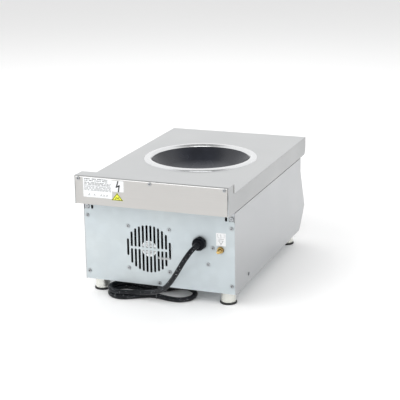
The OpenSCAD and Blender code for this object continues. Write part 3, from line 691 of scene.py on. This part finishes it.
# ---- Rear: labels, rivet, screws, ring, seams, earth stud, gland and fan ----

GLAND_X, GLAND_Z = -105, 152
STUD_X, STUD_Z = -156, 140
FAN_X, FAN_Z = 25, 124
FAN_SCREW_REACH = 52.5
FILM = 0.12  # thickness of a label


def rear_of(node):
    """How far back a CAD node reaches, in millimetres."""
    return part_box(node)[1][1] / MM


def rear_face(x, z, y):
    """Basis, at a place in millimetres, on a face that looks to the rear: X to the viewer's right, Y up."""
    return basis(Vector((x, y, z)) * MM, TO_REAR, UP)


def on_circle(radius, count):
    """Corners of a regular outline about the origin."""
    angles = (2 * math.pi * k / count for k in range(count))
    return [(radius * math.cos(a), radius * math.sin(a)) for a in angles]


def printed_rows(rng, left, top, width, rows):
    """Rows of short plain bars that stand for lines of print. Each row is (height, gap below)."""
    marks, y = [], top
    for height, gap in rows:
        y -= height
        x = left
        while x < left + width - 2:
            run = min(rng.uniform(1.6, 7.5), left + width - x)
            marks.append(bar(x, y, run, height))
            x += run + rng.choice((0.9, 1.1, 3.5))
        y -= gap
    return marks


def marks_on(name, around, outlines, material, lift, thick=0.05, body=CASING):
    """Thin printed marks lifted off the plane of a basis, from outlines in millimetres."""
    raised = around @ Matrix.Translation((0, 0, lift * MM))
    parts = [slab(scaled(*outline), raised, thick * MM) for outline in outlines]
    return place(mesh_object(name, *joined(parts)), material, body)


def stroke(points, width):
    """Outlines of straight strokes of one width through points of a plane."""
    outlines = []
    for (x0, y0), (x1, y1) in zip(points, points[1:]):
        dx, dy = x1 - x0, y1 - y0
        n = math.hypot(dx, dy)
        ex, ey = dx / n * width / 2, dy / n * width / 2
        outlines.append([
            (x0 - ex - ey, y0 - ey + ex), (x0 - ex + ey, y0 - ey - ex),
            (x1 + ex + ey, y1 + ey - ex), (x1 + ex - ey, y1 + ey + ex),
        ])
    return outlines


def make_cover_labels():
    rng = random.Random(4)
    face = rear_of("rear_cover")
    plate = rear_face(132.3, 277.3, face)
    marks_on("rating_plate", plate, [rounded(74, 47.4, 1.2)], LABEL_WHITE, 0, FILM)
    left, full = -34, 68
    dark = printed_rows(rng, left, 21.5, 60, [(2.0, 2.2), (1.7, 1.4)])
    dark += printed_rows(rng, left, 12.5, full, [(1.4, 1.2), (1.1, 1.3), (1.4, 1.4)])
    low_rows = [(1.0, 1.0), (1.2, 1.0), (1.3, 1.1), (1.0, 1.0), (1.0, 0.9), (1.2, 1.2)]
    faint = printed_rows(rng, left, 4.2, full, low_rows)
    symbols = []
    for x in (-22, -8, 9, 16, 24):
        symbols += stroke([(x - 2, -19.5), (x, -15), (x + 2, -19.5)], 0.8)
    marks_on("rating_plate_print_dark", plate, dark + symbols, LABEL_INK, FILM)
    marks_on("rating_plate_print_faint", plate, faint, LABEL_FAINT, FILM)

    square = rear_face(80.2, 285.1, face)
    marks_on("side_label", square, [rounded(29.4, 26.6, 1)], LABEL_WHITE, 0, FILM)
    zigzag = [(0.4, 11.3), (-3.5, -1.7), (3.5, 1.7), (1.3, -12.2)]
    marks_on("side_label_mark", square, stroke(zigzag, 3.2), DARK_INK_AND_SHADE, FILM)

    low = rear_face(82.4, 258.9, face)
    edge = [(-15.2, -8.2), (15.2, -8.2), (0, 10.6)]
    inner = [(x * 0.84, (y + 1.6) * 0.82 - 1.6) for x, y in edge]
    marks_on("triangle_label", low, [edge], LABEL_YELLOW, 0, FILM)
    border = [stroke([a, b], 1.7)[0] for a, b in zip(inner, inner[1:] + inner[:1])]
    peaks = stroke([(-5, -5.4), (-2.6, -0.6), (0, -3.4), (2.6, -0.6), (5, -5.4)], 1.5)
    marks_on("triangle_label_mark", low, border + peaks, LABEL_OLIVE, FILM)


def make_earth_label():
    label = rear_face(-157, 165.5, rear_of("rear_panel"))
    marks_on("earth_label", label, [rounded(24, 31, 0.8)], LABEL_WHITE, 0, FILM)
    lines = stroke([(0, 13), (0, 3.5)], 0.8) + stroke([(-7, 1), (7, 1)], 0.8)
    lines += stroke([(-8, 12.5), (-8, 5), (-4, 5)], 0.5) + stroke([(8, 12.5), (8, 5), (4, 5)], 0.5)
    lines += stroke([(-5.5, -3), (5.5, -3), (0, -12), (-5.5, -3)], 0.8)
    marks_on("earth_label_print", label, lines, LABEL_INK, FILM)


def make_rivet():
    profile = scaled((4.5, -0.6), (4.5, 0), (4.2, 0.7), (3.1, 1.3), (1.7, 1.4), (1.4, 0.2))
    rivet = lathe(profile, rear_face(-125, 101, rear_of("rear_panel")), 32)
    place(mesh_object("blind_rivet", *rivet), LOOKS["zinc_steel"])


def make_screw_recesses():
    """Painted shade: dark crosses in the cross recesses of the screws that face the rear."""
    long, wide, head = 5.2, 1.3, 1.97
    sides = (-1, 1)
    panel = [(side * 183, z) for side in sides for z in (53, 194)]
    panel += [(-137, 142.5), (-1, 41)]
    panel += [(FAN_X + a * FAN_SCREW_REACH, FAN_Z + b * FAN_SCREW_REACH) for a in sides for b in sides]
    cover = [(x, 297.5) for x in (-182, 0, 182)]
    for name, places in (("panel", panel), ("cover", cover)):
        crosses = []
        for x, z in places:
            crosses.append(bar(-x - long / 2, z - wide / 2, long, wide))
            crosses.append(bar(-x - wide / 2, z - long / 2, wide, long))
        top = rear_face(0, 0, rear_of(f"rear_{name}") + head)
        marks_on(f"screw_recesses_{name}", top, crosses, DARK_INK_AND_SHADE, 0, 0.05)


def make_cover_edge():
    """Painted highlight: a bright line along the upper edge of the rear cover."""
    edge = rear_face(0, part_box("rear_cover")[1][2] / MM, rear_of("rear_cover"))
    line = bar(-188.4, -1.9, 376.8, 1.7)
    marks_on("rear_cover_edge_highlight", edge, [line], EDGE_HIGHLIGHT, 0.01, 0.05)


def make_trim_ring():
    """Polished ring round the bowl, with an inner lip that leans in over the edge of the glass."""
    around = Matrix.Translation((0, BOWL_Y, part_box("trim_ring")[0][2]))
    outline = scaled(
        (127.4, 0), (144.5, 0), (144, 1.1), (142.3, 2.4), (139.5, 3.5), (135.5, 4.2), (130.4, 4.2),
        (128.6, 3.9), (127.5, 3.1), (124.6, -2.4), (124.7, -2.6), (125.4, -2.6), (126.3, -0.5),
    )
    made = mesh_object("trim_ring_turned", *ring(outline, around, 144))
    place(made, STEEL["polished_ring"])
    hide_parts("trim_ring")


def make_corner_seams():
    """Painted shade: a dark strip down each end of the upstand, at the bend up from the level plate, for
    the shade in the seam there.
    """
    left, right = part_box("top_plate")
    for name, x, out in (("left", left[0], -1), ("right", right[0], 1)):
        side = basis((x, 280.4 * MM, 291.8 * MM), (out, 0, 0), UP)
        marks_on(f"upstand_seam_shade_{name}", side, [rounded(4.4, 19.6, 1.6)], SEAM_SHADE, 0, 0.06)


def make_earth_stud():
    """Threaded brass stud with a hexagon at its foot, and the outer nut with its plain washer."""
    lo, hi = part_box("earth_stud")
    pitch = 1.25 * MM
    thread_depth = 0.65 * MM
    flats = hexagon(6.5 * MM)

    def thread(r, z, a):
        turn = (z / pitch + a / (2 * math.pi)) % 1
        return r - thread_depth * abs(2 * turn - 1) if r > 3.6 * MM else r

    around = rear_face(STUD_X, STUD_Z, lo[1] / MM)
    foot = scaled((6.8, 0), (7.5, 0.6), (7.5, 5.4), (6.8, 6))
    length = hi[1] - lo[1]
    step = pitch / 6
    shank = scaled((3.6, 6.1))
    shank += [(4 * MM, 6.5 * MM + k * step) for k in range(int((length - 7 * MM) / step))]
    shank += [(3.7 * MM, length - 0.5 * MM), (3.1 * MM, length)]
    parts = [lathe(shank, around, 40, thread), lathe(foot, around, 72, flats)]
    stud = place(mesh_object("earth_stud_threaded", *joined(parts)), STEEL["brass"])
    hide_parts("earth_stud")

    lo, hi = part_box("earth_nuts")
    around = rear_face(STUD_X, STUD_Z, lo[1] / MM)
    deep = (hi[1] - lo[1]) / MM
    washer = scaled((4.2, 0), (7.9, 0), (8, 0.2), (8, 1.2), (7.9, 1.4), (4.2, 1.4))
    nut = scaled((4.1, 1.4), (6.8, 1.4), (7.5, 2), (7.5, deep - 0.8), (6.6, deep), (4.6, deep))
    parts = [ring(washer, around, 48), ring(nut, around, 72, flats)]
    nuts = place(mesh_object("earth_nut_and_washer", *joined(parts)), STEEL["brass"])
    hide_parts("earth_nuts")


def make_gland():
    """Panel gland: hexagon body, fluted dome nut, and a ribbed tapered sleeve round the lead."""
    face = rear_of("rear_panel")
    around = rear_face(GLAND_X, GLAND_Z, face)
    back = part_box("cable_gland")[0][1] / MM - face
    bore = 6.25
    body_flats = hexagon(14.5 * MM)

    def flats(r, z, a):
        return body_flats(r, z, a) if z >= 0 else r

    def flutes(r, z, a):
        fluted = 7 * MM < z < 16.5 * MM and r > 11 * MM
        return r - 0.6 * MM * max(0, math.cos(9 * a)) ** 3 if fluted else r

    body = scaled(
        (bore, back), (11.8, back), (12.4, back + 0.6), (12.4, 0), (15.8, 0), (16.6, 0.7), (16.6, 5.2),
        (15.8, 6), (bore, 6),
    )
    dome = scaled(
        (bore, 6.1), (14.9, 6.1), (15.5, 6.7), (15.5, 13.2), (15, 14.5), (13.8, 16.6), (11.8, 18.4),
        (9.8, 19.4), (9, 19.6), (8.8, 19), (bore, 19),
    )
    start = 8.5
    end = rear_of("cable_gland") - face + 4
    ribs = 7
    sleeve = [(bore, start)]
    for t in (k / 44 for k in range(45)):
        rib = 0.35 * max(0, math.cos(2 * math.pi * t * ribs)) if 0.3 < t < 0.97 else 0
        sleeve.append((8.7 - 2 * t + rib, start + (end - start) * t))
    sleeve += [(6.3, end + 0.4), (bore, end)]

    pieces = (
        ("gland_body", ring(body, around, 96, flats), "gland_plastic"),
        ("gland_dome_nut", ring(dome, around, 144, flutes), "gland_plastic"),
        ("gland_strain_relief", ring(scaled(*sleeve), around, 64), "cord_rubber"),
    )
    placed = [place(mesh_object(name, *shape), LOOKS[look]) for name, shape, look in pieces]
    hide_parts("cable_gland")


def make_fan_details():
    """Printed disc on the fan's fixed hub and the fan's own pair of wires along one strut."""
    rng = random.Random(9)
    thick = 0.08
    hub = rear_face(FAN_X, FAN_Z, rear_of("fan_frame") - 0.5)
    marks_on("fan_label", hub, [on_circle(19.6, 64)], LABEL_WHITE, 0, thick)
    rows = []
    for y in (14.5, 11, 7.5, -5.5, -9, -12.5):
        half = math.sqrt(18 * 18 - y * y) - 1
        rows += printed_rows(rng, -half, y + 1, 2 * half, [(1.5, 0)])
    bold = printed_rows(rng, -16.5, 4.6, 33, [(2.0, 0)])
    marks_on("fan_label_print_faint", hub, rows, LABEL_INK, thick)
    marks_on("fan_label_print_dark", hub, bold, DARK_INK_AND_SHADE, thick)

    out = rear_of("fan_frame") + 0.7
    along_strut = (
        (10, out - 8.2, 4), (4, out - 2.7, 1), (-1, out, 0), (-8, out + 0.2, -0.3), (-18, out, 0.2),
        (-26, out - 0.1, 0), (-28.5, out - 2.2, 0), (-29, out - 6.2, -0.5),
    )
    for drop, name, look in ((19, "a", WIRE_GREY), (21.6, "b", WIRE_PALE)):
        route = [Vector((x, y, FAN_Z - drop + z)) * MM for x, y, z in along_strut]
        wire = mesh_object(f"fan_wire_{name}", *tube(smoothed(route), 1.1 * MM, 12))
        place(wire, look)


# ---- Front: knob, scale, display and switch marks ----

SLOPE_OUT = Vector((0, -0.928477, 0.371391))
SLOPE_UP = Vector((0, 0.371391, 0.928477))
SLOPE_MIDDLE = Vector((0, -287.0577, 158.3556))
KNOB_X, KNOB_TOP = 95, 19.2
SWITCH_X, ROCKER_TOP = -105, 2.0
ROCKER_TILT = math.radians(18)


def on_slope(x, out=0.0):
    """Basis on the control slope: X to the viewer's right, Y up the slope and Z out of it."""
    at = SLOPE_MIDDLE + Vector((x, 0, 0)) + SLOPE_OUT * out
    return basis(at * MM, SLOPE_OUT, SLOPE_UP)


def clock(radius, degrees):
    """Point on the knob's scale, clockwise from the top."""
    a = math.radians(90 - degrees)
    return radius * math.cos(a), radius * math.sin(a)


def make_scale():
    """Ticks round the knob, and a line that grows wider from the lowest power to full power."""
    first, last, steps = 40, 280, 40
    ticks = []
    for k, degrees in enumerate((0, *range(first, last + 1, 24))):
        width = 1.1 if k in (0, 1, 6, 11) else 0.7
        ticks += stroke([clock(24.2, degrees), clock(26.6, degrees)], width)
    outer, inner = [], []
    for k in range(steps + 1):
        degrees = first + (last - first) * k / steps
        outer.append(clock(27.6 + 1.5 * k / steps, degrees))
        inner.append(clock(27.4, degrees))
    wedge = [[outer[k], outer[k + 1], inner[k + 1], inner[k]] for k in range(steps)]
    marks_on("power_scale", on_slope(KNOB_X), ticks + wedge, DARK_INK_AND_SHADE, 0, 0.06)


def make_pointer():
    line = bar(-0.72, 8.2, 1.44, 9.6)
    marks_on("knob_pointer", on_slope(KNOB_X, KNOB_TOP), [line], LABEL_WHITE, 0, 0.5, body="power_knob")


def make_display():
    """Printed border of the window, and four unlit digits behind it, each with its point."""
    around = on_slope(0, 1.0)
    outer, inner = rounded(72, 26, 1.5), rounded(69, 23, 1)
    corners = len(outer)
    strips = []
    for k in range(corners):
        n = (k + 1) % corners
        strips.append([outer[k], outer[n], inner[n], inner[k]])
    marks_on("display_border", around, strips, DARK_INK_AND_SHADE, 0, 0.06)

    high, wide, stroke_width, pitch = 13, 7.6, 1.2, 12.2
    half = high / 2
    segments = []
    for digit in range(4):
        x, y = -21 + digit * pitch, -half
        for level in (0, half, high):
            segments.append(bar(x + 0.9, y + level - stroke_width / 2, wide - 1.8, stroke_width))
        for side in (0, wide - stroke_width):
            for level in (0, half):
                segments.append(bar(x + side, y + level + 0.9, stroke_width, half - 1.8))
        segments.append(bar(x + wide + 1.2, y - 0.6, 1.4, 1.4))
    marks_on("display_segments", around, segments, SEGMENT, 0, 0.05)


def make_rocker_marks():
    """Line and circle moulded in the two halves of the rocker."""
    around = on_slope(SWITCH_X, ROCKER_TOP)
    line = bar(-0.5, 3.6, 1.0, 5.6)
    marks_on("rocker_line", around, [line], LABEL_WHITE, 0, 0.06, body="switch_rocker")
    circle = [(x, y - 6.6) for x, y in on_circle(3, 32)]
    tilted = around @ Matrix.Rotation(-ROCKER_TILT, 4, "X")
    outlines = stroke([*circle, circle[0]], 0.7)
    marks_on("rocker_circle", tilted, outlines, LABEL_WHITE, 0.02, 0.06, body="switch_rocker")


make_cover_labels()
make_earth_label()
make_rivet()
make_screw_recesses()
make_cover_edge()
make_trim_ring()
make_corner_seams()
make_earth_stud()
make_gland()
make_fan_details()
make_scale()
make_pointer()
make_display()
make_rocker_marks()


# ---- Sheet edges ----

EDGE_RADII = {
    0.5: ["foot_sleeves"],
    0.35: ["rear_cover", "power_knob"],
    0.3: ["left_side_panel", "right_side_panel", "control_panel", "switch_body", "switch_rocker"],
    0.2: ["corner_brackets", "casing_screws", "cover_screws", "fan_screws", "display_window"],
}


def soften(node, width):
    """Small round-over on the outer edges of a carried-over piece."""
    bevel = frame["nodes"][node].modifiers.new("edge", "BEVEL")
    bevel.width = width * MM
    bevel.segments = 2
    bevel.limit_method = "ANGLE"
    bevel.angle_limit = SHARP_ANGLE
    bevel.harden_normals = True


for width, nodes in EDGE_RADII.items():
    for node in nodes:
        soften(node, width)


# ---- Stage and light ----

def make_stage():
    size, corner, thick = 80, 30, 0.02
    top = Matrix.Translation((0, 0, -thick))
    floor = mesh_object("floor", *slab(rounded(size, size, corner), top, thick))
    s = Shader("floor_pale", (0.97, 0.97, 0.97), 0.8, 0.0, Specular_IOR_Level=0.2)
    s.tones(s.noise(1.5, 2), 0.995, 1.0)
    s.set("Emission Color", (1, 1, 1, 1))
    s.set("Emission Strength", 0.04)
    floor.data.materials.append(s.material)


def make_world():
    """White all round, but for a soft dark patch of ceiling that the level steel reflects."""
    world = bpy.data.worlds.new("studio")
    scene.world = world
    world.use_nodes = True
    tree = world.node_tree
    coords = tree.nodes.new("ShaderNodeTexCoord")
    towards = tree.nodes.new("ShaderNodeVectorMath")
    towards.operation = "DOT_PRODUCT"
    tree.links.new(coords.outputs["Generated"], towards.inputs[0])
    towards.inputs[1].default_value = direction(200, 74)
    ceiling = tree.nodes.new("ShaderNodeMapRange")
    ceiling.interpolation_type = "SMOOTHSTEP"
    for socket, value in (("From Min", 0.66), ("From Max", 0.95), ("To Min", 1.0), ("To Max", 0.2)):
        ceiling.inputs[socket].default_value = value
    tree.links.new(towards.outputs["Value"], ceiling.inputs["Value"])
    back = tree.nodes["Background"]
    back.inputs["Color"].default_value = (1, 1, 1, 1)
    tree.links.new(ceiling.outputs["Result"], back.inputs["Strength"])


def softbox(name, at, size, power, mirrored):
    """Rectangular lamp that faces the middle of the hob and may show in its polished faces."""
    data = bpy.data.lights.new(name, "AREA")
    data.shape = "RECTANGLE"
    data.size, data.size_y = size
    data.energy = power
    lamp = bpy.data.objects.new(name, data)
    lamp.location = at
    aim = Vector((0, 0, 0.2)) - Vector(at)
    lamp.rotation_euler = aim.to_track_quat("-Z", "Y").to_euler()
    lamp.visible_glossy = mirrored
    scene.collection.objects.link(lamp)


make_stage()
make_world()
softbox("key", (1.8, 2.2, 2.6), (3, 3), 62, False)
softbox("fill", (-2.6, 1.4, 1.8), (2.4, 2.4), 14, False)
softbox("front", (0.8, -2.1, 2.7), (2.4, 1.6), 26, False)
softbox("strip", (-0.9, 2.5, 2.6), (2.4, 0.9), 17, True)
